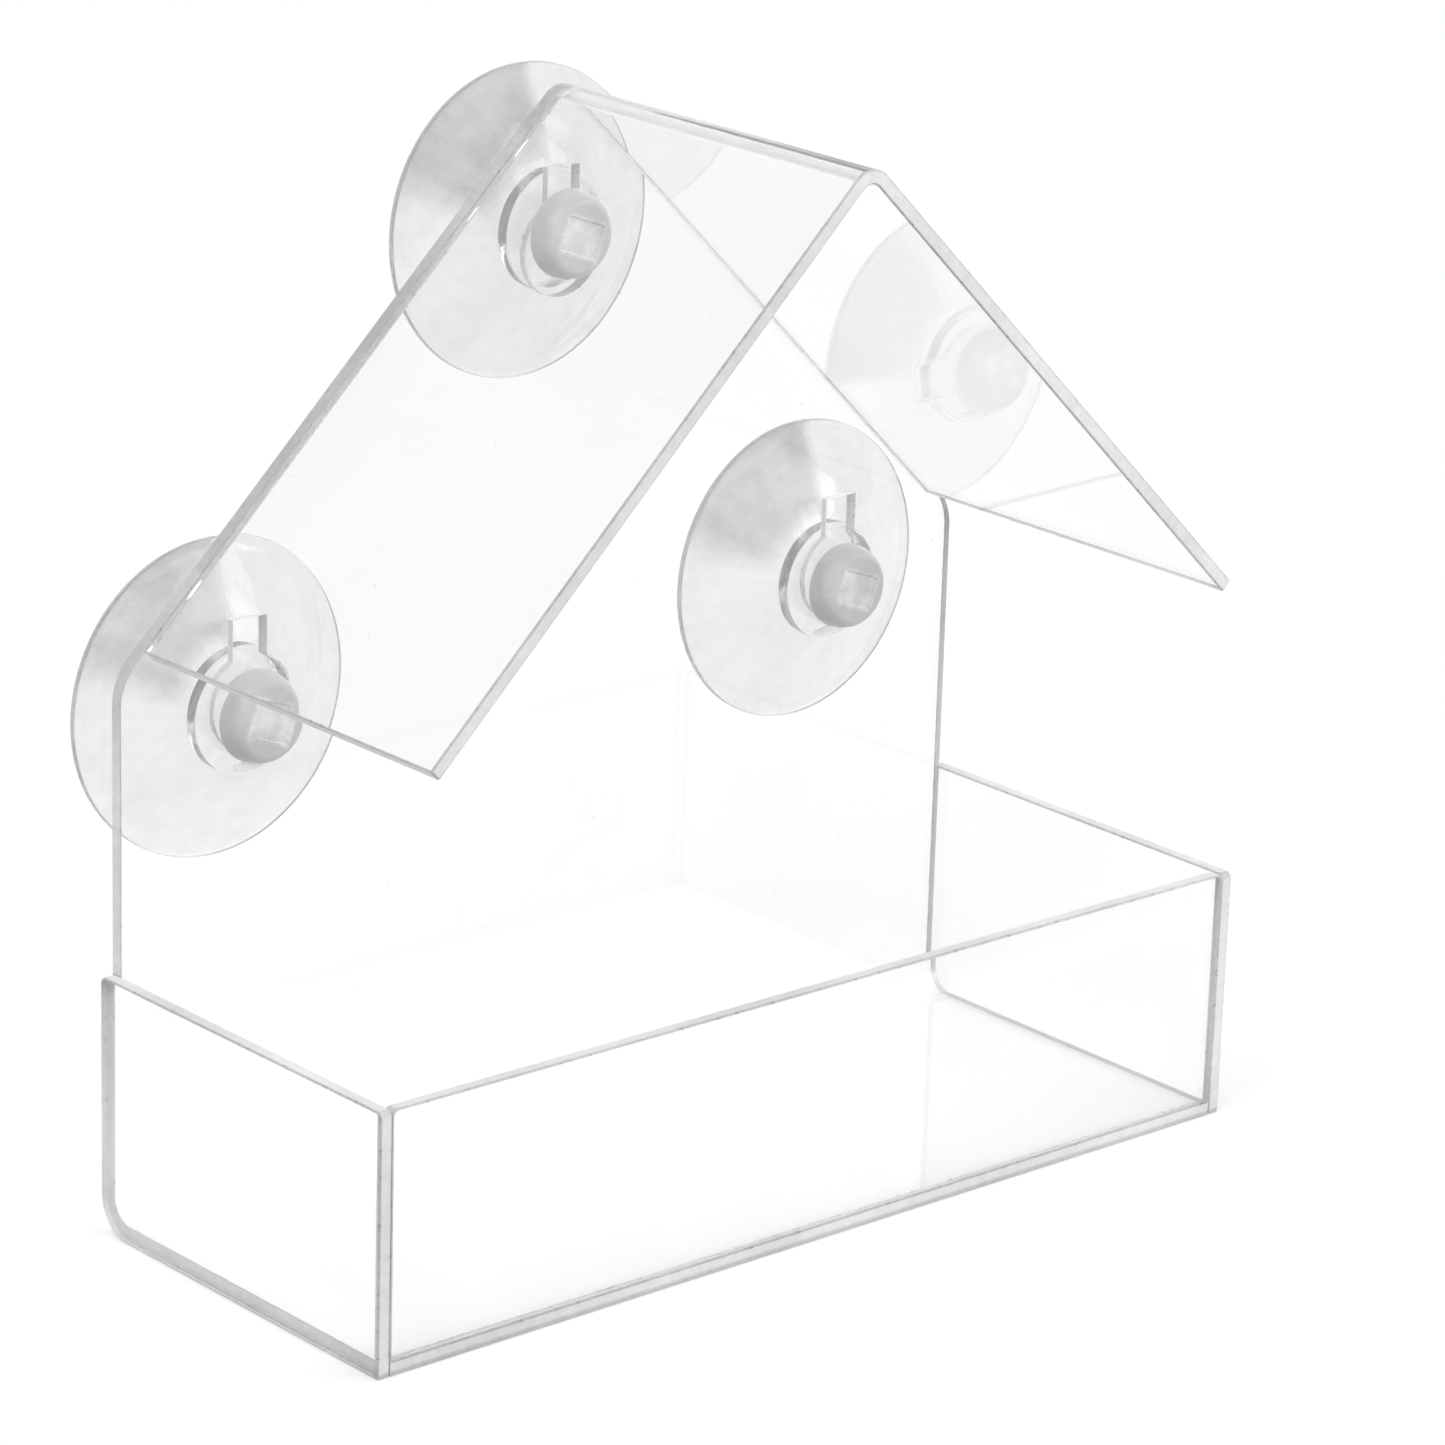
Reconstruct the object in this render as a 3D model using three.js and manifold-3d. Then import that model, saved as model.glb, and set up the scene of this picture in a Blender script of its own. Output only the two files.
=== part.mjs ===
// Clear window bird feeder: a house-shaped tray of bent acrylic sheet, hung on three suction cups.
// Millimetres. X runs across the window, +Y points at the glass and Z is up.
// The pieces are drawn with the back panel's front face on y = 0 and the floor's underside on z = 0.

import * as THREE from 'three';
import { mergeVertices } from 'three/addons/utils/BufferGeometryUtils.js';
import Module from 'manifold-3d';

const wasm = await Module();
wasm.setup();

// Acrylic house
const sheet = 2;
const width = 150;
const tray_depth = 61.4;
const tray_height = 37;
const eave_height = 78.4;
const roof_pitch = THREE.MathUtils.degToRad(44.25);
const roof_depth = 61.3;
const floor_bend_radius = 3.5;
const ridge_bend_radius = 2;
const shoulder_radius = 9;
const eave_setback = 1.5;
const sawn_corner_radius = 1;

// Suction cup
const cup_diameter = 45;
const cup_reach = 9;
const lip_width = 1.6;
const lip_thickness = 0.8;
const boss_height = 2;
const boss_edge_radius = 0.5;
const boss_overlap = 2.1;
const dish_floor_radius = 7;
const dish_floor_thickness = 3.9;
const neck_diameter = 5;
const head_diameter = 12.6;
const head_height = 4.3;
const head_flat_diameter = 6;
const head_edge_radius = 0.5;

// Where the dish's walls bow away from a straight cone, as shares of their run and of their rise
const dish_bow_run_share = 0.55;
const dish_bow_rise_share = 0.36;

// Keyholes and the cups in them
const head_clearance = 0.3;
const neck_clearance = 0.3;
const seat_gap = 0.3;
const slot_reach = 11.8;
const side_keyhole_inset = 22;
const side_keyhole_drop = 7.3;
const top_keyhole_drop = 23.6;
const side_cup_lift = -1.4;
const top_cup_lift = 2.5;

// Steps of the round forms
const bend_steps = 8;
const hole_steps = 24;
const moulding_steps = 3;
const cup_sides = 60;

// Sizes that follow from the ones above
const half_width = width / 2;
const tray_front = tray_depth - sheet;
const floor_outer_radius = floor_bend_radius + sheet;
const ridge_outer_radius = ridge_bend_radius + sheet;
const half_apex = Math.PI / 2 - roof_pitch;
const slope_reach = half_width * Math.sin(roof_pitch) + eave_height * Math.cos(roof_pitch);
const ridge_centre = (slope_reach - ridge_outer_radius) / Math.cos(roof_pitch);
const ridge_height = ridge_centre + ridge_outer_radius;
const shoulder_x = half_width - shoulder_radius;
const shoulder_z = (slope_reach - shoulder_radius - shoulder_x * Math.sin(roof_pitch)) / Math.cos(roof_pitch);
const neck_radius = neck_diameter / 2;
const head_radius = head_diameter / 2;
const hole_radius = head_radius + head_clearance;
const slot_half = neck_radius + neck_clearance;
const boss_radius = hole_radius + boss_overlap;
const cup_radius = cup_diameter / 2;
const sealing_plane = sheet + cup_reach;
const side_keyhole_x = half_width - side_keyhole_inset;
const side_keyhole_z = eave_height - side_keyhole_drop;
const top_keyhole_z = ridge_height - top_keyhole_drop;

// Keyhole centres, each with the name of its cup and the cup's height up the slot
const keyholes = [
  { cup: 'suction_cup_top', x: 0, z: top_keyhole_z, lift: top_cup_lift },
  { cup: 'suction_cup_left', x: -side_keyhole_x, z: side_keyhole_z, lift: side_cup_lift },
  { cup: 'suction_cup_right', x: side_keyhole_x, z: side_keyhole_z, lift: side_cup_lift },
];

const clear_acrylic = new THREE.MeshStandardMaterial({
  name: 'clear_acrylic',
  color: 0xe8ecee,
  roughness: 0.05,
  metalness: 0,
  transparent: true,
  opacity: 0.35,
});
const clear_pvc = new THREE.MeshStandardMaterial({
  name: 'clear_pvc',
  color: 0xd9dcdd,
  roughness: 0.2,
  metalness: 0,
  transparent: true,
  opacity: 0.5,
});

// A side profile is drawn as depth and height, and is extruded across the feeder.
const side_profile = new THREE.Matrix4().makeBasis(
  new THREE.Vector3(0, 1, 0),
  new THREE.Vector3(0, 0, 1),
  new THREE.Vector3(1, 0, 0),
);

// A front profile is drawn as width and height, and is extruded away from the window.
const front_profile = new THREE.Matrix4().makeBasis(
  new THREE.Vector3(1, 0, 0),
  new THREE.Vector3(0, 0, 1),
  new THREE.Vector3(0, -1, 0),
);

function extrude(shape, length, profile, curveSegments) {
  const geometry = new THREE.ExtrudeGeometry(shape, { depth: length, bevelEnabled: false, curveSegments });
  return geometry.applyMatrix4(profile);
}

// Welds a closed geometry into a solid that can be cut.
function solidOf(geometry) {
  const bare = geometry.clone();
  bare.deleteAttribute('normal');
  bare.deleteAttribute('uv');
  const welded = mergeVertices(bare);
  return new wasm.Manifold(new wasm.Mesh({
    numProp: welded.attributes.position.itemSize,
    vertProperties: new Float32Array(welded.attributes.position.array),
    triVerts: new Uint32Array(welded.index.array),
  }));
}

function geometryOf(solid) {
  const { vertProperties, triVerts, numProp } = solid.getMesh();
  const geometry = new THREE.BufferGeometry();
  geometry.setAttribute('position', new THREE.BufferAttribute(vertProperties, numProp));
  geometry.setIndex(new THREE.BufferAttribute(triVerts, 1));
  geometry.computeVertexNormals();
  return geometry;
}

function piece(name, geometry, material) {
  const mesh = new THREE.Mesh(geometry, material.clone());
  mesh.name = name;
  return mesh;
}

// Section through the strip that is heated along one line and bent up into panel and floor.
function bentStripSection(top) {
  const centre_y = sheet - floor_outer_radius;
  const centre_z = floor_outer_radius;
  const section = new THREE.Shape();
  section.moveTo(-tray_front, sheet);
  section.lineTo(-tray_front, 0);
  section.absarc(centre_y, centre_z, floor_outer_radius, -Math.PI / 2, 0, false);
  section.lineTo(sheet, top);
  section.lineTo(0, top);
  section.absarc(centre_y, centre_z, floor_bend_radius, 0, -Math.PI / 2, true);
  section.closePath();
  return section;
}

// House outline of the flat blank: upright sides, rounded shoulders, and a tip rounded like the roof's bend.
function houseOutline() {
  const outline = new THREE.Shape();
  outline.moveTo(-half_width, 0);
  outline.lineTo(half_width, 0);
  outline.absarc(shoulder_x, shoulder_z, shoulder_radius, 0, half_apex, false);
  outline.absarc(0, ridge_centre, ridge_outer_radius, half_apex, Math.PI - half_apex, false);
  outline.absarc(-shoulder_x, shoulder_z, shoulder_radius, Math.PI - half_apex, Math.PI, false);
  outline.closePath();
  return outline;
}

// A round hole that passes the cup's head, under a square-topped slot that holds its neck.
function keyholeOutline() {
  const mouth = Math.asin(slot_half / hole_radius);
  const outline = new THREE.Shape();
  outline.moveTo(slot_half, slot_reach);
  outline.lineTo(-slot_half, slot_reach);
  outline.absarc(0, 0, hole_radius, Math.PI / 2 + mouth, Math.PI * 2.5 - mouth, false);
  outline.closePath();
  return outline;
}

function backAndFloorPanel() {
  const strip = extrude(bentStripSection(ridge_height + sheet), width, side_profile, bend_steps);
  strip.translate(-half_width, 0, 0);
  const house = extrude(houseOutline(), tray_depth + sheet + sheet, front_profile, bend_steps);
  house.translate(0, sheet + sheet, 0);
  let solid = solidOf(strip).intersect(solidOf(house));
  for (const { x, z } of keyholes) {
    const cutter = extrude(keyholeOutline(), sheet + sheet + sheet, front_profile, hole_steps);
    cutter.translate(x, sheet + sheet, z);
    solid = solid.subtract(solidOf(cutter));
  }
  return piece('back_and_floor_panel', geometryOf(solid), clear_acrylic);
}

// Stands on the floor between the end plates, with its two free corners eased.
function frontWall() {
  const corner_x = half_width - sawn_corner_radius;
  const corner_z = tray_height - sheet - sawn_corner_radius;
  const outline = new THREE.Shape();
  outline.moveTo(-half_width, 0);
  outline.lineTo(half_width, 0);
  outline.absarc(corner_x, corner_z, sawn_corner_radius, 0, Math.PI / 2, false);
  outline.absarc(-corner_x, corner_z, sawn_corner_radius, Math.PI / 2, Math.PI, false);
  outline.closePath();
  const wall = piece('front_wall', extrude(outline, sheet, front_profile, bend_steps), clear_acrylic);
  wall.position.set(0, sheet - tray_front, sheet);
  return wall;
}

// Closes one end of the tray from outside and follows the floor's bend at its lower back corner.
function endPlate(name, inner_x) {
  const corner_z = tray_height - sawn_corner_radius;
  const outline = new THREE.Shape();
  outline.moveTo(-tray_front, corner_z);
  outline.lineTo(-tray_front, 0);
  outline.absarc(sheet - floor_outer_radius, floor_outer_radius, floor_outer_radius, -Math.PI / 2, 0, false);
  outline.absarc(sheet - sawn_corner_radius, corner_z, sawn_corner_radius, 0, Math.PI / 2, false);
  outline.absarc(sawn_corner_radius - tray_front, corner_z, sawn_corner_radius, Math.PI / 2, Math.PI, false);
  outline.closePath();
  const plate = piece(name, extrude(outline, sheet, side_profile, bend_steps), clear_acrylic);
  plate.position.x = inner_x;
  return plate;
}

// One sheet bent at the ridge. Its slopes end square, a little above the panel's rounded shoulders.
function roof() {
  const eave_x = shoulder_x + shoulder_radius * Math.sin(roof_pitch) - eave_setback * Math.cos(roof_pitch);
  const eave_z = shoulder_z + shoulder_radius * Math.cos(roof_pitch) + eave_setback * Math.sin(roof_pitch);
  const inner_eave_x = eave_x - sheet * Math.sin(roof_pitch);
  const inner_eave_z = eave_z - sheet * Math.cos(roof_pitch);
  const section = new THREE.Shape();
  section.moveTo(inner_eave_x, inner_eave_z);
  section.lineTo(eave_x, eave_z);
  section.absarc(0, ridge_centre, ridge_outer_radius, half_apex, Math.PI - half_apex, false);
  section.lineTo(-eave_x, eave_z);
  section.lineTo(-inner_eave_x, inner_eave_z);
  section.absarc(0, ridge_centre, ridge_bend_radius, Math.PI - half_apex, half_apex, true);
  section.closePath();
  return piece('roof', extrude(section, roof_depth, front_profile, bend_steps), clear_acrylic);
}

// Half section of the one-piece cup, as radius against distance from the panel's front face.
// It runs from the head's face round the neck and boss to the lip, and back into the dish.
function cupSection() {
  const head_face = -(seat_gap + head_height);
  const equator = -(seat_gap + head_edge_radius);
  const head_flat_radius = head_flat_diameter / 2;
  const boss_front = sheet + seat_gap;
  const boss_back = boss_front + boss_height;
  const lip_front = sealing_plane - lip_thickness;
  const lip_inner_radius = cup_radius - lip_width;
  const dish_floor = boss_front + dish_floor_thickness;
  const section = new THREE.Path();
  section.moveTo(0, head_face);
  section.lineTo(head_flat_radius, head_face);
  section.absellipse(
    head_flat_radius, equator, head_radius - head_flat_radius, equator - head_face, -Math.PI / 2, 0, false, 0,
  );
  section.absarc(head_radius - head_edge_radius, equator, head_edge_radius, 0, Math.PI / 2, false);
  section.lineTo(neck_radius, -seat_gap);
  section.lineTo(neck_radius, boss_front);
  section.absarc(
    boss_radius - boss_edge_radius, boss_front + boss_edge_radius, boss_edge_radius, -Math.PI / 2, 0, false,
  );
  section.lineTo(boss_radius, boss_back);
  section.quadraticCurveTo(
    THREE.MathUtils.lerp(boss_radius, lip_inner_radius, dish_bow_run_share),
    THREE.MathUtils.lerp(boss_back, lip_front, dish_bow_rise_share),
    lip_inner_radius,
    lip_front,
  );
  section.lineTo(cup_radius, lip_front);
  section.lineTo(cup_radius, sealing_plane);
  section.lineTo(lip_inner_radius, sealing_plane);
  section.quadraticCurveTo(
    THREE.MathUtils.lerp(dish_floor_radius, lip_inner_radius, dish_bow_run_share),
    THREE.MathUtils.lerp(dish_floor, sealing_plane, dish_bow_rise_share),
    dish_floor_radius,
    dish_floor,
  );
  section.lineTo(0, dish_floor);
  return section.getPoints(moulding_steps);
}

function suctionCup({ cup, x, z, lift }) {
  const mesh = piece(cup, new THREE.LatheGeometry(cupSection(), cup_sides), clear_pvc);
  mesh.position.set(x, 0, z + lift);
  return mesh;
}

// The origin is under the middle of the whole feeder, on the face that it stands on.
const feeder = new THREE.Group();
feeder.position.y = (roof_depth - sealing_plane) / 2;
feeder.add(backAndFloorPanel());
feeder.add(frontWall());
feeder.add(endPlate('left_end_plate', -half_width - sheet));
feeder.add(endPlate('right_end_plate', half_width));
feeder.add(roof());
for (const keyhole of keyholes) {
  feeder.add(suctionCup(keyhole));
}

const group = new THREE.Group();
group.add(feeder);

export default group;
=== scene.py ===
# Clear window feeder: a bent acrylic house with an open tray, held by three suction cups.
# Metres, in the model's own frame: X across the window, +Y towards the glass, Z up.

import math

import bpy
from mathutils import Matrix, Vector


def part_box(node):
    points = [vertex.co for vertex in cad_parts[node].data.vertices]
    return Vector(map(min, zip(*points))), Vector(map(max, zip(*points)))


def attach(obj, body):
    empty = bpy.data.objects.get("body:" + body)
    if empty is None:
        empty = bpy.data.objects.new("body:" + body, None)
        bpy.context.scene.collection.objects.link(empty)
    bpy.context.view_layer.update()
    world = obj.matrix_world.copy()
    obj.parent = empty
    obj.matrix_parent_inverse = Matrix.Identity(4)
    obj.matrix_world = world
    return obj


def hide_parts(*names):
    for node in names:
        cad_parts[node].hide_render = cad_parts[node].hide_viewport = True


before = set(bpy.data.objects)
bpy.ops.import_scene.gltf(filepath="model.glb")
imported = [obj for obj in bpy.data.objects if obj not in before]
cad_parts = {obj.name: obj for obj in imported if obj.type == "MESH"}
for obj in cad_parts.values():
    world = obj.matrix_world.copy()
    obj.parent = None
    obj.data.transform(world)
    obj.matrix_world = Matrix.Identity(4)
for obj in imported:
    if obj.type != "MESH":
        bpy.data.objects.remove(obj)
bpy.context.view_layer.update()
scene = bpy.context.scene


# Camera
# A long lens off the feeder's left front corner, looking down by 18 degrees and rolled slightly.
# Its place and its lens are the ones that the photograph was taken with, as near as they can be found.
camera_place = Vector((-0.50194, -0.57818, 0.31707))
camera_azimuth = math.radians(-41.468)
camera_elevation = math.radians(18.193)
camera_roll = math.radians(1.777)
camera_lens = 145.83
camera_sensor = 36.0
camera_near = 0.01

camera_data = bpy.data.cameras.new("camera")
camera_data.lens = camera_lens
camera_data.sensor_width = camera_sensor
camera_data.clip_start = camera_near
camera = bpy.data.objects.new("camera", camera_data)
camera.matrix_world = (
    Matrix.Translation(camera_place)
    @ Matrix.Rotation(camera_azimuth, 4, "Z")
    @ Matrix.Rotation(math.pi / 2 - camera_elevation, 4, "X")
    @ Matrix.Rotation(camera_roll, 4, "Z")
)
scene.collection.objects.link(camera)
scene.camera = camera


# Studio
# A pale floor, a room that is white at eye level and darker towards its ceiling, and two soft lamps.
# The room that the eye, the gloss and the clear plastic show is lighter than the one that gives light.
wall_white = 1.0
ceiling_level = 0.5
ceiling_starts = 0.25
ceiling_ends = 0.85
room_level = 0.62
floor_level = 0.6
floor_glow = 0.43
far_floor_glow = 0.5
far_floor_starts = 0.8
far_floor_ends = 2.2
floor_span = 6.0
floor_drop = 0.0001
most_bounces = 24
most_gloss_bounces = 12
most_open_crossings = 32


class Wire:
    """A node's output. Arithmetic on it adds Math nodes to its tree."""

    def __init__(self, tree, socket):
        self.tree = tree
        self.socket = socket

    def maths(self, operation, *values):
        return self.tree.add("ShaderNodeMath", {"operation": operation}, *values)

    def __add__(self, other):
        return self.maths("ADD", self, other)

    def __sub__(self, other):
        return self.maths("SUBTRACT", self, other)

    def __rsub__(self, other):
        return self.maths("SUBTRACT", other, self)

    def __mul__(self, other):
        return self.maths("MULTIPLY", self, other)

    def __truediv__(self, other):
        return self.maths("DIVIDE", self, other)

    def __pow__(self, other):
        return self.maths("POWER", self, other)

    def __or__(self, other):
        return self.maths("MAXIMUM", self, other)

    __radd__ = __add__
    __rmul__ = __mul__

    def output(self, name):
        return Wire(self.tree, self.socket.node.outputs[name])

    def onto(self, low, high, bottom, top):
        """The value as it runs from low to high, laid onto bottom to top and held there."""
        return self.tree.add("ShaderNodeMapRange", {}, self, low, high, bottom, top)

    def rise(self, start, end):
        """A soft step from 0 to 1."""
        soft_step = {"interpolation_type": "SMOOTHSTEP"}
        return self.tree.add("ShaderNodeMapRange", soft_step, self, start, end, 0.0, 1.0)


class Tree:
    """The nodes of a material or of the world."""

    def __init__(self, owner):
        owner.use_nodes = True
        self.nodes = owner.node_tree.nodes
        self.links = owner.node_tree.links
        self.nodes.clear()

    def add(self, kind, settings, *values, **named):
        """A new node: its settings first, then its sockets by order or by name."""
        node = self.nodes.new(kind)
        for name, value in settings.items():
            setattr(node, name, value)
        for key, value in [*enumerate(values), *named.items()]:
            socket = node.inputs[key.replace("_", " ") if isinstance(key, str) else key]
            if isinstance(value, Wire):
                self.links.new(value.socket, socket)
            else:
                socket.default_value = value
        return Wire(self, node.outputs[0]) if len(node.outputs) else node

    def noise(self, place, scale, detail, roughness=0.5):
        return self.add(
            "ShaderNodeTexNoise", {}, place, Scale=scale, Detail=detail, Roughness=roughness
        )

    def grey_of(self, tone):
        return self.add("ShaderNodeCombineColor", {}, tone, tone, tone)

    def shown_room(self):
        """1 for the rays that show the room: direct, off a gloss or through clear plastic."""
        path = self.add("ShaderNodeLightPath", {})
        direct = path.output("Is Camera Ray")
        return direct | path.output("Is Glossy Ray") | path.output("Is Transmission Ray")

    def surface(self, shader):
        self.add("ShaderNodeOutputMaterial", {}, shader)


def grey(level):
    return (level, level, level, 1.0)


scene.view_settings.view_transform = "Standard"
scene.cycles.max_bounces = most_bounces
scene.cycles.transmission_bounces = most_bounces
scene.cycles.glossy_bounces = most_gloss_bounces
scene.cycles.transparent_max_bounces = most_open_crossings

world = bpy.data.worlds.new("studio")
scene.world = world
sky = Tree(world)
shown = sky.shown_room()
way = sky.add("ShaderNodeTexCoord", {})
climb = sky.add("ShaderNodeSeparateXYZ", {}, way).output("Z")
overhead = climb.onto(ceiling_starts, ceiling_ends, wall_white, ceiling_level)
level = shown * overhead + (1 - shown) * room_level
sky.add("ShaderNodeOutputWorld", {}, sky.add("ShaderNodeBackground", {}, grey(1.0), level))

floor_paint = bpy.data.materials.new("studio_floor")
paint = Tree(floor_paint)
place = paint.add("ShaderNodeTexCoord", {}).output("Object")
away = paint.add("ShaderNodeVectorMath", {"operation": "LENGTH"}, place).output("Value")
glow_level = away.onto(far_floor_starts, far_floor_ends, floor_glow, far_floor_glow)
matt = paint.add("ShaderNodeBsdfDiffuse", {}, grey(floor_level))
glow = paint.add("ShaderNodeEmission", {}, grey(1.0), paint.shown_room() * glow_level)
paint.surface(paint.add("ShaderNodeAddShader", {}, matt, glow))
bpy.ops.mesh.primitive_plane_add(size=floor_span, location=(0, 0, -floor_drop))
floor = bpy.context.object
floor.name = "studio_floor"
floor.data.materials.append(floor_paint)


def lamp(name, place, size, power):
    """A square lamp that points at the feeder and doesn't show in its gloss."""
    data = bpy.data.lights.new(name, "AREA")
    data.size = size
    data.energy = power
    made = bpy.data.objects.new(name, data)
    made.location = place
    made.rotation_euler = (-Vector(place)).to_track_quat("-Z", "Y").to_euler()
    made.visible_glossy = False
    scene.collection.objects.link(made)


lamp("key_lamp", place=(-4.0, -2.4, 6.0), size=4.0, power=185.0)
lamp("fill_lamp", place=(4.0, -5.6, 3.2), size=5.0, power=225.0)


# Back and floor panel
# One 2 mm strip of cast acrylic, sawn to a house outline and bent up along a heated line.
# Its faces are polished, its edges are left as they were sawn, and its keyholes are routed.
acrylic_ior = 1.49
shadow_through = 0.95
arris = 0.00025
cement_line = 0.00003
weld_distance = 0.000001
flatness = math.radians(0.5)
smooth_bends = math.radians(25)
gable_reach = 0.03
gable_middle = Vector((0, 0, 0.1))
keyhole_reach = 0.014

# The part of a face's normal that counts as facing along an axis, and as facing up on the gable.
squarely = 0.98
gable_tilt = 0.3

# Most of a noise lies within the first of these, and most of a mix of two within the second.
noise_swing = (0.35, 0.65)
mix_swing = (0.38, 0.62)


def acrylic_finish(name):
    """A new material, its nodes, and the place on the sheet in metres."""
    made = bpy.data.materials.new(name)
    tree = Tree(made)
    return made, tree, tree.add("ShaderNodeTexCoord", {}).output("Object")


def acrylic(tree, tone, roughness, clarity, **more):
    """The sheet's own shader. Clarity is the share of the light that goes through it."""
    return tree.add(
        "ShaderNodeBsdfPrincipled",
        {},
        Base_Color=tree.grey_of(tone),
        Roughness=roughness,
        IOR=acrylic_ior,
        Transmission_Weight=clarity,
        **more,
    )


def clear_sheet(tree, tint, roughness, clarity, normal):
    """Sees through as acrylic and lets the lamps' light through."""
    glass = acrylic(tree, tint, roughness, clarity, Normal=normal)
    open_air = tree.add("ShaderNodeBsdfTransparent", {}, grey(shadow_through))
    to_lamp = tree.add("ShaderNodeLightPath", {}).output("Is Shadow Ray")
    tree.surface(tree.add("ShaderNodeMixShader", {}, to_lamp, glass, open_air))


haze_scale = 35.0
haze_tints = (0.978, 0.992)
dust_scale = 170.0
speck_radius = 0.03
speck_core_share = 0.7
speck_depth = 0.35
wave_scale = 18.0
wave_strength = 0.05
wave_height = 0.001

polished, face, place = acrylic_finish("polished_acrylic")
haze = face.noise(place, haze_scale, detail=3.0)
from_dust = face.add("ShaderNodeTexVoronoi", {}, place, Scale=dust_scale)
speck = 1 - from_dust.rise(speck_radius * speck_core_share, speck_radius)
ripple = face.noise(place, wave_scale, detail=1.0)
waves = face.add("ShaderNodeBump", {}, Strength=wave_strength, Distance=wave_height, Height=ripple)
tint = haze.onto(*noise_swing, *haze_tints) * (1 - speck * speck_depth)
clear_sheet(face, tint, roughness=0.0, clarity=1.0, normal=waves)

bend_mist_scale = 90.0
bend_tints = (0.97, 0.99)
bend_mist_swing = (0.3, 0.7)
bend_roughness = (0.0, 0.04)
bend_wave_scale = 160.0
bend_wave_strength = 0.1
bend_wave_height = 0.0005
bend_clarity = 0.8

bent, heated, place = acrylic_finish("heat_bent_acrylic")
mist = heated.noise(place, bend_mist_scale, detail=3.0)
ripple = heated.noise(place, bend_wave_scale, detail=2.0)
waves = heated.add(
    "ShaderNodeBump", {}, Strength=bend_wave_strength, Distance=bend_wave_height, Height=ripple
)
tint = mist.onto(*noise_swing, *bend_tints)
clear_sheet(heated, tint, mist.onto(*bend_mist_swing, *bend_roughness), bend_clarity, waves)

saw_scale = 22.0
grain_scale = 600.0
grain_roughness = 0.7


def saw_grain(tree, place):
    return tree.noise(place, grain_scale, detail=3.0, roughness=grain_roughness)


def saw_marks(tree, place, patch_share, tones):
    """The tone of a cut edge, from broad patches and fine grain, and the grain on its own."""
    patches = tree.noise(place, saw_scale, detail=2.0)
    grain = saw_grain(tree, place)
    marks = patches * patch_share + grain * (1 - patch_share)
    return marks.onto(*mix_swing, *tones), grain


# A sawn edge is darker at its foot, which is painted contact shade, and it darkens on the panel's
# edges between 66 and 76 mm up and stays darker above.
foot_shade_height = 0.001
foot_shade_starts_share = 0.4
foot_shade_depth = 0.3
panel_darkens_above = (0.066, 0.076)
panel_edge_depth = (0.0245, 0.0255)
panel_darkening_depth = 0.22
saw_strength = 0.15
saw_height = 0.0001
sawn_tones = (0.7, 0.95)
sawn_roughness = (0.3, 0.5)
cut_clarity = 0.12

sawn, edge, place = acrylic_finish("sawn_acrylic_edge")
tone, grain = saw_marks(edge, place, patch_share=0.75, tones=sawn_tones)
spot = edge.add("ShaderNodeSeparateXYZ", {}, place)
height = spot.output("Z")
# Painted contact shade at the foot; above 66 mm the panel's sawn edges are darker.
foot = 1 - height.rise(foot_shade_height * foot_shade_starts_share, foot_shade_height)
panel_darkening = height.rise(*panel_darkens_above) * spot.output("Y").rise(*panel_edge_depth)
tone = tone * (1 - foot * foot_shade_depth) * (1 - panel_darkening * panel_darkening_depth)
teeth = edge.add("ShaderNodeBump", {}, Strength=saw_strength, Distance=saw_height, Height=grain)
roughness = grain.onto(*noise_swing, *sawn_roughness)
edge.surface(acrylic(edge, tone, roughness, cut_clarity, Normal=teeth))

arris_tones = (0.46, 0.7)
arris_roughness = (0.25, 0.45)
arris_clarity = 0.25

eased, corner, place = acrylic_finish("eased_acrylic_arris")
tone, grain = saw_marks(corner, place, patch_share=0.6, tones=arris_tones)
roughness = grain.onto(*noise_swing, *arris_roughness)
corner.surface(acrylic(corner, tone, roughness, arris_clarity))

# The keyhole walls are a routed cut, with their tones painted lighter than a sawn edge's to make up
# for the shade inside the keyholes.
routed_tones_painted_lighter = (0.88, 1.0)
routed_roughness = (0.25, 0.4)
routed_clarity = 0.4

routed, wall, place = acrylic_finish("routed_keyhole_wall")
grain = saw_grain(wall, place)
tone = grain.onto(*noise_swing, *routed_tones_painted_lighter)
roughness = grain.onto(*noise_swing, *routed_roughness)
wall.surface(acrylic(wall, tone, roughness, routed_clarity))

cement_patch_scale = 60.0
froth_scale = 900.0
cement_tones = (0.56, 0.72)
cement_roughness = 0.3


def cement_film(tree, place, patch_share, tones):
    """An acrylic edge behind a film of set cement, with uneven patches and fine froth."""
    patches = tree.noise(place, cement_patch_scale, detail=3.0)
    froth = tree.noise(place, froth_scale, detail=2.0)
    film = patches * patch_share + froth * (1 - patch_share)
    return acrylic(tree, film.onto(*mix_swing, *tones), cement_roughness, cut_clarity)


cemented, bond, place = acrylic_finish("cemented_acrylic_edge")
bond.surface(cement_film(bond, place, patch_share=0.7, tones=cement_tones))


def cup_axis(node):
    low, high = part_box(node)
    return (low.x + high.x) / 2, (low.z + high.z) / 2


cup_axes = {which: cup_axis("suction_cup_" + which) for which in ("top", "left", "right")}


def at_keyhole(point):
    return any(
        math.hypot(point.x - x, point.z - z) < keyhole_reach for x, z in cup_axes.values()
    )


def pick(piece, wanted):
    """Goes into edit mode on the piece, with the faces that are wanted selected."""
    bpy.ops.object.select_all(action="DESELECT")
    bpy.context.view_layer.objects.active = piece
    piece.select_set(True)
    bpy.ops.object.mode_set(mode="EDIT")
    bpy.ops.mesh.select_mode(type="FACE")
    bpy.ops.mesh.select_all(action="DESELECT")
    bpy.ops.object.mode_set(mode="OBJECT")
    for polygon in piece.data.polygons:
        polygon.select = wanted(polygon.normal, polygon.center)
    bpy.ops.object.mode_set(mode="EDIT")


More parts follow.
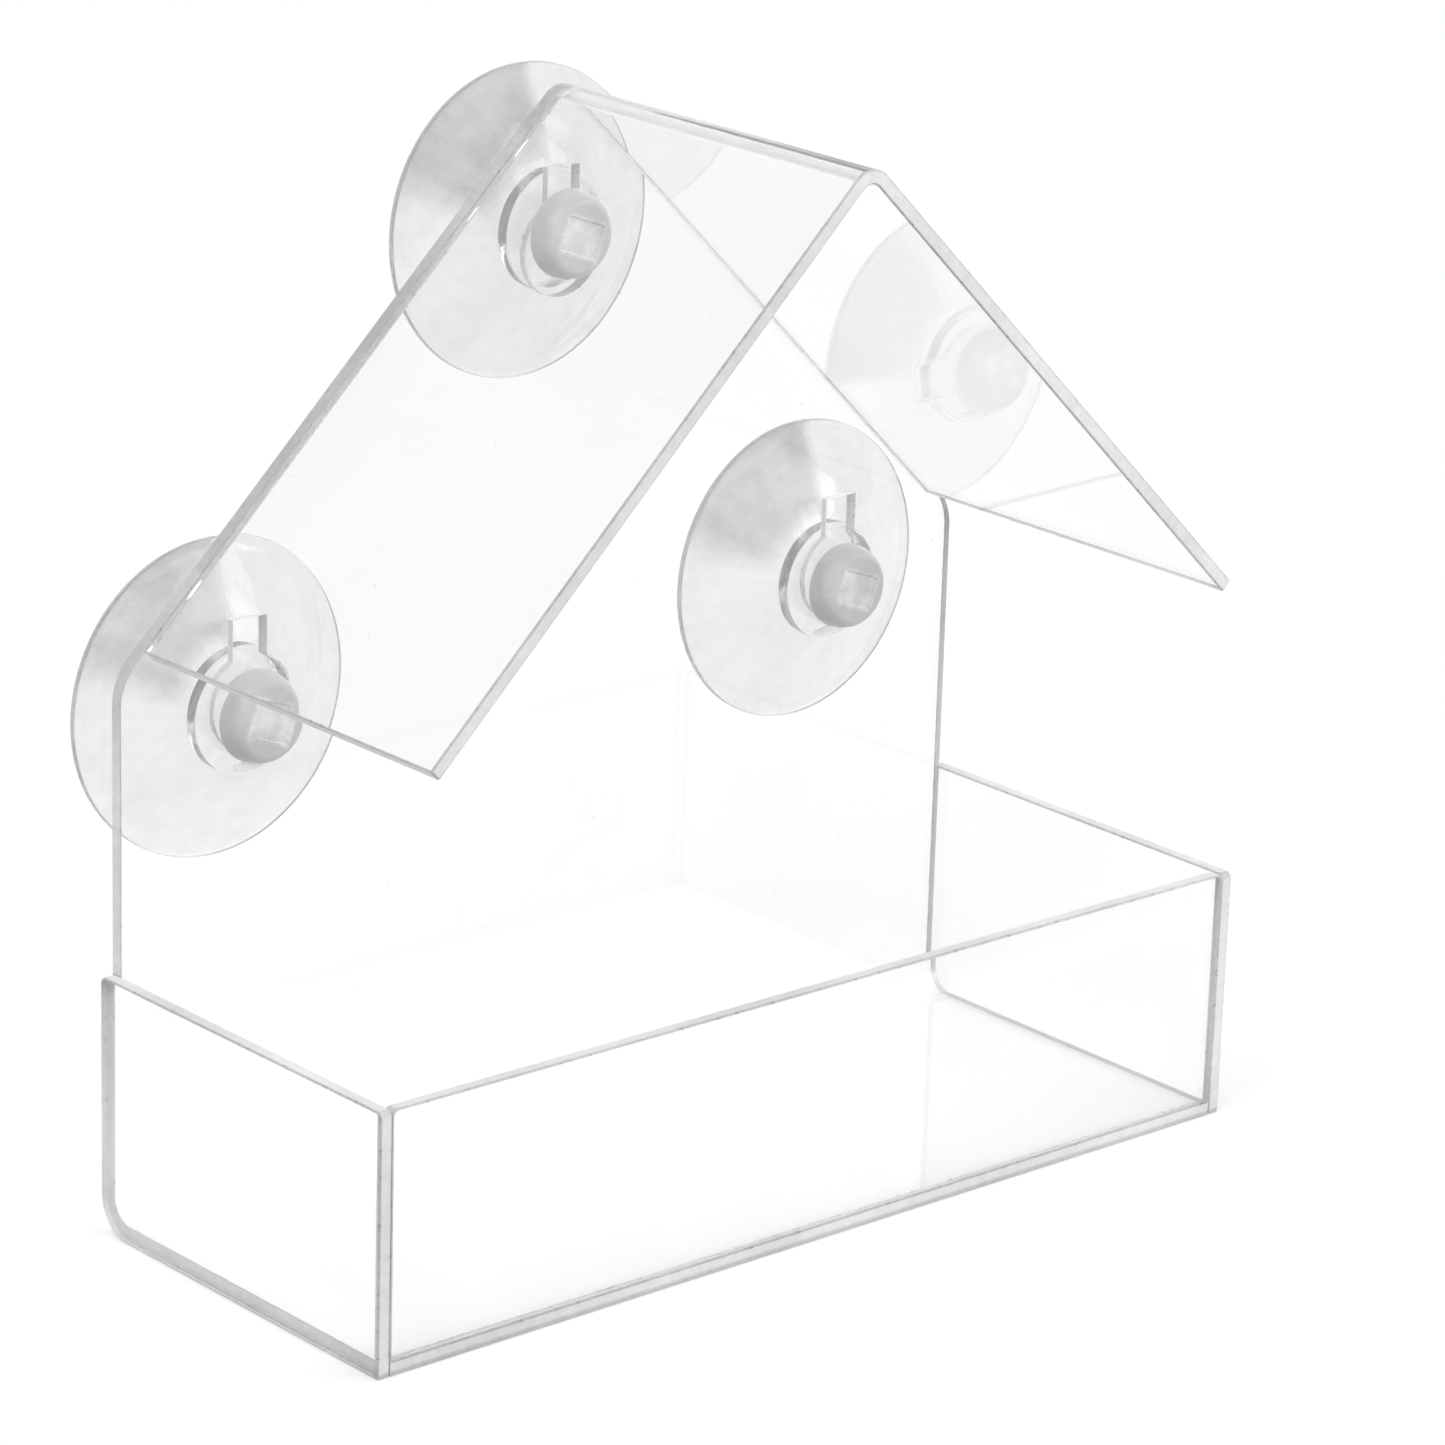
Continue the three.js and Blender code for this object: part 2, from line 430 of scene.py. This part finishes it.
def cut_sheet(name, node, finish_of, joint_faces_way=None, parted_at=None):
    """Welds a copy of the CAD sheet, gives its faces their finish and eases its arrises.

    The faces that face joint_faces_way draw back from it by the cement's thickness. A height
    given as parted_at divides the faces there, where their finish changes.
    """
    piece = bpy.data.objects.new(name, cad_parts[node].data.copy())
    scene.collection.objects.link(piece)
    pick(piece, lambda normal, centre: True)
    bpy.ops.mesh.remove_doubles(threshold=weld_distance)
    bpy.ops.mesh.dissolve_limited(angle_limit=flatness)
    if parted_at:
        bpy.ops.mesh.select_all(action="SELECT")
        bpy.ops.mesh.bisect(plane_co=(0, 0, parted_at), plane_no=(0, 0, 1))
    bpy.ops.object.mode_set(mode="OBJECT")
    if joint_faces_way:
        way = Vector(joint_faces_way)
        pick(piece, lambda normal, centre: normal.dot(way) > squarely)
        bpy.ops.transform.translate(value=-way * cement_line)
        bpy.ops.object.mode_set(mode="OBJECT")

    finishes = [eased, routed]
    piece.data.materials.clear()
    for polygon in piece.data.polygons:
        finish = finish_of(polygon.normal, polygon.center)
        if finish not in finishes:
            finishes.append(finish)
        polygon.material_index = finishes.index(finish)
    for finish in finishes:
        piece.data.materials.append(finish)

    ease = piece.modifiers.new("eased_arrises", "BEVEL")
    ease.width = arris
    ease.segments = 2
    ease.limit_method = "ANGLE"
    ease.material = finishes.index(eased)
    bpy.ops.object.modifier_apply(modifier=ease.name)
    for polygon in piece.data.polygons:
        if polygon.material_index == finishes.index(eased) and at_keyhole(polygon.center):
            polygon.material_index = finishes.index(routed)
    bpy.ops.object.shade_smooth_by_angle(angle=smooth_bends)
    weigh = piece.modifiers.new("flat_faces_stay_flat", "WEIGHTED_NORMAL")
    weigh.keep_sharp = True
    weigh.weight = 100
    bpy.ops.object.modifier_apply(modifier=weigh.name)
    bpy.ops.object.material_slot_remove_unused()
    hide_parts(node)
    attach(piece, "house")


floor_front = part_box("back_and_floor_panel")[0].y
tray_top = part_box("left_end_plate")[1].z


def panel_finish(normal, centre):
    if centre.z < tray_top:
        if abs(normal.x) > squarely:
            return cemented
        if centre.y < floor_front + arris:
            return sawn
        return polished if max(abs(normal.y), abs(normal.z)) > squarely else bent
    if abs(normal.y) > squarely:
        return polished
    if at_keyhole(centre):
        return routed
    on_gable = normal.z > gable_tilt and normal.dot(centre - gable_middle) > gable_reach
    return cemented if on_gable else sawn


cut_sheet("panel", "back_and_floor_panel", panel_finish, parted_at=tray_top)


# Front wall
# A flat strip of the same sheet, with a sawn upper edge.
# It stands on the floor's front edge and is cemented to it and between the end plates.
def strip_finish(normal, centre):
    if abs(normal.y) > squarely:
        return polished
    return sawn if normal.z > squarely else cemented


cut_sheet("front_strip", "front_wall", strip_finish, joint_faces_way=(0, 0, -1))


# End plates
# Two flat plates of the same sheet, with sawn upper and front edges.
# They are cemented to the ends of the tray from outside.
def plate_finish(normal, centre):
    if abs(normal.x) > squarely:
        return polished
    return sawn if normal.z > squarely or normal.y < -squarely else cemented


cut_sheet("left_plate", "left_end_plate", plate_finish, joint_faces_way=(1, 0, 0))
cut_sheet("right_plate", "right_end_plate", plate_finish, joint_faces_way=(-1, 0, 0))


# Roof
# One sheet bent along the ridge and cemented to the front of the panel, level with its gable.
# Air bubbles and milky patches are left in the cement of that seam, and the bubbles glow with a
# painted glint.
roof_slope = math.radians(44.25)
bend_half_width = 0.004
# The seam's cement tones are lower than the gable's, painted shade that brings the seam, seen through
# the roof, down to the gable band.
seam_tones_painted_darker = (0.44, 0.64)
bubble_rim = (0.7, 1.3)
bubble_roughness = 0.2
painted_bubble_glint = 0.4

# A face whose normal has more than the first along Y is an end of the roof. One whose outward and
# upward parts multiply to less than the second is the sawn edge of an eave.
end_tilt = 0.02
eave_tilt = -0.1

# Bubbles under the left gable: middle across and up, half length, half width.
bubbles = (
    (-0.0078, 0.1415, 0.0016, 0.00045),
    (-0.0160, 0.1335, 0.0013, 0.0004),
    (-0.0625, 0.0887, 0.0016, 0.00045),
    (-0.0700, 0.0815, 0.0010, 0.0005),
)

seamed, seam, place = acrylic_finish("bubbled_gable_seam")
spot = seam.add("ShaderNodeSeparateXYZ", {}, place)
bubble = None
for middle_x, middle_z, half_length, half_width in bubbles:
    from_x = spot - middle_x
    from_z = spot.output("Z") - middle_z
    along = (from_x * math.cos(roof_slope) + from_z * math.sin(roof_slope)) / half_length
    aside = (from_z * math.cos(roof_slope) - from_x * math.sin(roof_slope)) / half_width
    inside = 1 - (along * along + aside * aside).rise(*bubble_rim)
    bubble = inside if bubble is None else bubble | inside
film = cement_film(seam, place, patch_share=0.6, tones=seam_tones_painted_darker)
# The bubbles are white and glow a little: a painted glint.
void_with_painted_glint = seam.add(
    "ShaderNodeBsdfPrincipled",
    {},
    Base_Color=grey(1.0),
    Roughness=bubble_roughness,
    Emission_Color=grey(1.0),
    Emission_Strength=painted_bubble_glint,
)
seam.surface(seam.add("ShaderNodeMixShader", {}, bubble, film, void_with_painted_glint))


def roof_finish(normal, centre):
    if abs(normal.y) > end_tilt:
        return seamed if normal.y > 0 else sawn
    if abs(centre.x) < bend_half_width:
        return bent
    return polished if normal.x * normal.z * math.copysign(1, centre.x) > eave_tilt else sawn


cut_sheet("roof_sheet", "roof", roof_finish, joint_faces_way=(0, 1, 0))


# Suction cups
# One-piece mouldings of soft clear PVC: head, neck, boss, thin dish and flat sealing lip.
# Each is turned from a disc at the head's face, out to the lip and back into the dish.
cup_sides = 96
head_reach = 0.0043
head_radius = 0.0063
head_flat_radius = 0.0046
head_edge = 0.0005
seat_gap = 0.0003
neck_radius = 0.0025
neck_fillet = 0.0004
boss_front = 0.0023
boss_back = 0.0043
boss_radius = 0.0087
boss_edge = 0.0005
dish_floor_radius = 0.007
dish_floor = 0.0062
lip_front = 0.01
lip_inner_radius = 0.0209
lip_radius = 0.0225
lip_edge = 0.0002
lip_edge_tilt = 0.8
sealing_plane = 0.011
bow_run_share = 0.55
bow_rise_share = 0.36
bow_steps = 14
pad_half_width = 0.0035
pad_half_height = 0.0027
pad_depth = 0.0003
pad_floor_share = 0.85
pad_turn = math.radians(20)
face_ring = 0.0001
smooth_turning = math.radians(35)
cup_face_span = 0.05
panel_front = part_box("roof")[1].y


def arc(middle, reach, degrees, steps):
    """Points of an elliptical arc in a half section, as radius and depth.

    The degrees are the first and the last, where 0 is outwards and 90 is towards the glass.
    """
    first, last = degrees
    points = []
    for step in range(steps + 1):
        angle = math.radians(first + (last - first) * step / steps)
        points.append(
            (middle[0] + reach[0] * math.cos(angle), middle[1] + reach[1] * math.sin(angle))
        )
    return points


def bow(start, end):
    """Points of a wall that bows away from a straight cone."""
    middle = (
        start[0] + (end[0] - start[0]) * bow_run_share,
        start[1] + (end[1] - start[1]) * bow_rise_share,
    )
    points = []
    for step in range(1, bow_steps):
        t = step / bow_steps
        points.append(
            tuple(
                a * (1 - t) ** 2 + 2 * b * t * (1 - t) + c * t**2
                for a, b, c in zip(start, middle, end)
            )
        )
    return points


head_equator = -(seat_gap + head_edge)
head_dome = (head_radius - head_flat_radius, head_reach + head_equator)
neck_turn = neck_radius + neck_fillet
cup_profile = [
    (head_flat_radius - face_ring, -head_reach),
    *arc((head_flat_radius, head_equator), head_dome, (-90, 0), 12),
    *arc((head_radius - head_edge, head_equator), (head_edge, head_edge), (20, 90), 4),
    *arc((neck_turn, neck_fillet - seat_gap), (-neck_fillet, -neck_fillet), (90, 0), 4),
    *arc((neck_turn, boss_front - neck_fillet), (-neck_fillet, neck_fillet), (0, 90), 4),
    *arc((boss_radius - boss_edge, boss_front + boss_edge), (boss_edge, boss_edge), (-90, 0), 5),
    (boss_radius, boss_back),
    *bow((boss_radius, boss_back), (lip_inner_radius, lip_front)),
    (lip_inner_radius, lip_front),
    *arc((lip_radius - lip_edge, lip_front + lip_edge), (lip_edge, lip_edge), (-90, 0), 3),
    *arc((lip_radius - lip_edge, sealing_plane - lip_edge), (lip_edge, lip_edge), (0, 90), 3),
    (lip_inner_radius, sealing_plane),
    *bow((lip_inner_radius, sealing_plane), (dish_floor_radius, dish_floor)),
    (dish_floor_radius, dish_floor),
]

pvc_ior = 1.53
pvc_shadow_through = 0.8
cloud_scale = 90.0
cloud_roughness = 0.6
fine_cloud_scale = 420.0
streaks_around = 9.0
streaks_outward = 90.0
cloud_share = 0.55
streak_share = 0.2
fine_cloud_share = 0.25
# The fan of cloudier milk in each dish, from 85 to 172 degrees round its axis, is a painted
# reflection.
reflection_fan_starts = math.radians(85)
reflection_fan_ends = math.radians(172)
reflection_fan_first_edge = 0.12
reflection_fan_last_edge = 0.4
reflection_fan_inner_edge = 0.002
reflection_fan_swing = (0.5, 1.0)
pad_rim = (1.0, 1.25)
pad_highlight_marbling = (0.42, 0.58)
gel_tone = 0.93
gel_roughness = 0.03
gel_ripple_strength = 0.15
gel_ripple_height = 0.0003
milk_roughness = 0.3


def pvc(name, milk_tone, milkiness, painted_reflection_fan=0.0, pad_highlight_tone=0.0):
    """Clear soft PVC with cloudy patches, from the least to the most milkiness.

    The fan is cloudier milk over the dish's upper left, a painted reflection of a dark part of the
    room. The milk is lighter by the pad's tone on the plain pad in the middle, a painted highlight.
    """
    made = bpy.data.materials.new(name)
    soft = Tree(made)
    place = soft.add("ShaderNodeTexCoord", {}).output("Object")
    flat = soft.add("ShaderNodeSeparateXYZ", {}, soft.add("ShaderNodeUVMap", {"uv_map": "cup_face"}))
    across = (flat - 0.5) * cup_face_span
    up = (flat.output("Y") - 0.5) * cup_face_span
    radius = (across * across + up * up) ** 0.5
    ray = soft.add(
        "ShaderNodeCombineXYZ",
        {},
        across / radius * streaks_around,
        up / radius * streaks_around,
        radius * streaks_outward,
    )
    cloud = soft.noise(place, cloud_scale, detail=4.0, roughness=cloud_roughness)
    streaks = soft.noise(ray, scale=1.0, detail=3.0)
    fine_cloud = soft.noise(place, fine_cloud_scale, detail=3.0)
    mottle = cloud * cloud_share + streaks * streak_share + fine_cloud * fine_cloud_share
    milk_share = mottle.onto(*mix_swing, *milkiness)
    if painted_reflection_fan:
        # Painted reflection: more milk in a fan over the dish's upper left.
        angle = soft.add("ShaderNodeMath", {"operation": "ARCTAN2"}, up, across)
        fan = angle.rise(reflection_fan_starts, reflection_fan_starts + reflection_fan_first_edge)
        fan = fan * (1 - angle.rise(reflection_fan_ends - reflection_fan_last_edge, reflection_fan_ends))
        fan = fan * radius.rise(boss_radius, boss_radius + reflection_fan_inner_edge)
        milk_share = milk_share + fan * mottle.onto(*noise_swing, *reflection_fan_swing) * painted_reflection_fan
    milk_colour = grey(milk_tone)
    if pad_highlight_tone:
        # Painted highlight: the milk on the head's plain pad is lighter, for a lamp's reflection.
        pad_x = (across * math.cos(pad_turn) - up * math.sin(pad_turn)) / pad_half_width
        pad_y = (across * math.sin(pad_turn) + up * math.cos(pad_turn)) / pad_half_height
        pad = 1 - ((pad_x * pad_x) | (pad_y * pad_y)).rise(*pad_rim)
        lighter = pad * mottle.onto(*pad_highlight_marbling, 0.0, 1.0) * pad_highlight_tone
        milk_colour = soft.grey_of(lighter + milk_tone)
    gel = soft.add(
        "ShaderNodeBsdfPrincipled",
        {},
        Base_Color=grey(gel_tone),
        Roughness=gel_roughness,
        IOR=pvc_ior,
        Normal=soft.add(
            "ShaderNodeBump",
            {},
            Strength=gel_ripple_strength,
            Distance=gel_ripple_height,
            Height=cloud,
        ),
        Transmission_Weight=1.0,
    )
    milk = soft.add(
        "ShaderNodeBsdfPrincipled",
        {},
        Base_Color=milk_colour,
        Roughness=milk_roughness,
        Diffuse_Roughness=1.0,
        IOR=pvc_ior,
    )
    open_air = soft.add("ShaderNodeBsdfTransparent", {}, grey(pvc_shadow_through))
    body = soft.add("ShaderNodeMixShader", {}, milk_share, gel, milk)
    to_lamp = soft.add("ShaderNodeLightPath", {}).output("Is Shadow Ray")
    soft.surface(soft.add("ShaderNodeMixShader", {}, to_lamp, body, open_air))
    return made


thin_dish = pvc("soft_clear_pvc", milk_tone=0.6, milkiness=(0.06, 0.16), painted_reflection_fan=0.48)
thick_head = pvc("thick_pvc_head", milk_tone=0.58, milkiness=(0.78, 0.92), pad_highlight_tone=0.2)
trimmed_lip = pvc("trimmed_pvc_lip", milk_tone=0.6, milkiness=(0.5, 0.65))
cup_finishes = (thin_dish, thick_head, trimmed_lip)


def sink_pad(piece, middle):
    """Sinks a plain pad with sloping sides into the head's face."""
    bpy.ops.mesh.primitive_cube_add(
        size=2,
        location=middle,
        rotation=(0, pad_turn, 0),
        scale=(pad_half_width, pad_depth, pad_half_height),
    )
    punch = bpy.context.object
    bpy.ops.object.transform_apply()
    pick(punch, lambda normal, centre: normal.y > squarely)
    bpy.ops.transform.resize(value=(pad_floor_share, 1, pad_floor_share), center_override=middle)
    bpy.ops.object.mode_set(mode="OBJECT")
    pick(piece, lambda normal, centre: True)
    bpy.ops.object.mode_set(mode="OBJECT")
    sink = piece.modifiers.new("sunk_pad", "BOOLEAN")
    sink.object = punch
    sink.operation = "DIFFERENCE"
    bpy.ops.object.modifier_apply(modifier=sink.name)
    bpy.data.objects.remove(punch)


def cup_finish(normal, from_axis, depth):
    if from_axis > lip_radius - lip_edge and abs(normal.y) < lip_edge_tilt:
        return trimmed_lip
    return thick_head if depth < 0 else thin_dish


def turned_cup(axis_x, axis_z):
    """A moulding with its sunk pad, its finishes and a flat map of its face."""
    bpy.ops.object.select_all(action="DESELECT")
    radius, depth = cup_profile[0]
    bpy.ops.mesh.primitive_circle_add(
        vertices=cup_sides,
        radius=radius,
        fill_type="NGON",
        location=(axis_x, panel_front + depth, axis_z),
        rotation=(math.pi / 2, 0, 0),
    )
    piece = bpy.context.object
    bpy.ops.object.transform_apply()
    bpy.ops.object.mode_set(mode="EDIT")
    bpy.ops.mesh.select_mode(type="FACE")
    bpy.ops.mesh.select_all(action="SELECT")
    for next_radius, next_depth in cup_profile[1:]:
        bpy.ops.mesh.extrude_region_move(
            TRANSFORM_OT_translate={"value": (0, next_depth - depth, 0)}
        )
        growth = next_radius / radius
        bpy.ops.transform.resize(
            value=(growth, 1, growth), center_override=(axis_x, panel_front, axis_z)
        )
        radius, depth = next_radius, next_depth
    bpy.ops.mesh.select_all(action="SELECT")
    bpy.ops.mesh.remove_doubles(threshold=weld_distance)
    bpy.ops.mesh.normals_make_consistent(inside=False)
    bpy.ops.object.mode_set(mode="OBJECT")
    sink_pad(piece, (axis_x, panel_front - head_reach, axis_z))
    bpy.ops.object.shade_smooth_by_angle(angle=smooth_turning)

    mesh = piece.data
    for finish in cup_finishes:
        mesh.materials.append(finish)
    for polygon in mesh.polygons:
        from_axis = math.hypot(polygon.center.x - axis_x, polygon.center.z - axis_z)
        finish = cup_finish(polygon.normal, from_axis, polygon.center.y - panel_front)
        polygon.material_index = cup_finishes.index(finish)
    flat = mesh.uv_layers.new(name="cup_face")
    for loop in mesh.loops:
        point = mesh.vertices[loop.vertex_index].co
        flat.data[loop.index].uv = (
            0.5 + (point.x - axis_x) / cup_face_span,
            0.5 + (point.z - axis_z) / cup_face_span,
        )
    return piece


top_x, top_z = cup_axes["top"]
first_cup = turned_cup(top_x, top_z)
for which, (axis_x, axis_z) in cup_axes.items():
    mesh = first_cup.data.copy()
    mesh.transform(Matrix.Translation((axis_x - top_x, 0, axis_z - top_z)))
    cup = bpy.data.objects.new(which + "_cup_moulding", mesh)
    scene.collection.objects.link(cup)
    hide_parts("suction_cup_" + which)
    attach(cup, which + "_cup")
bpy.data.objects.remove(first_cup)
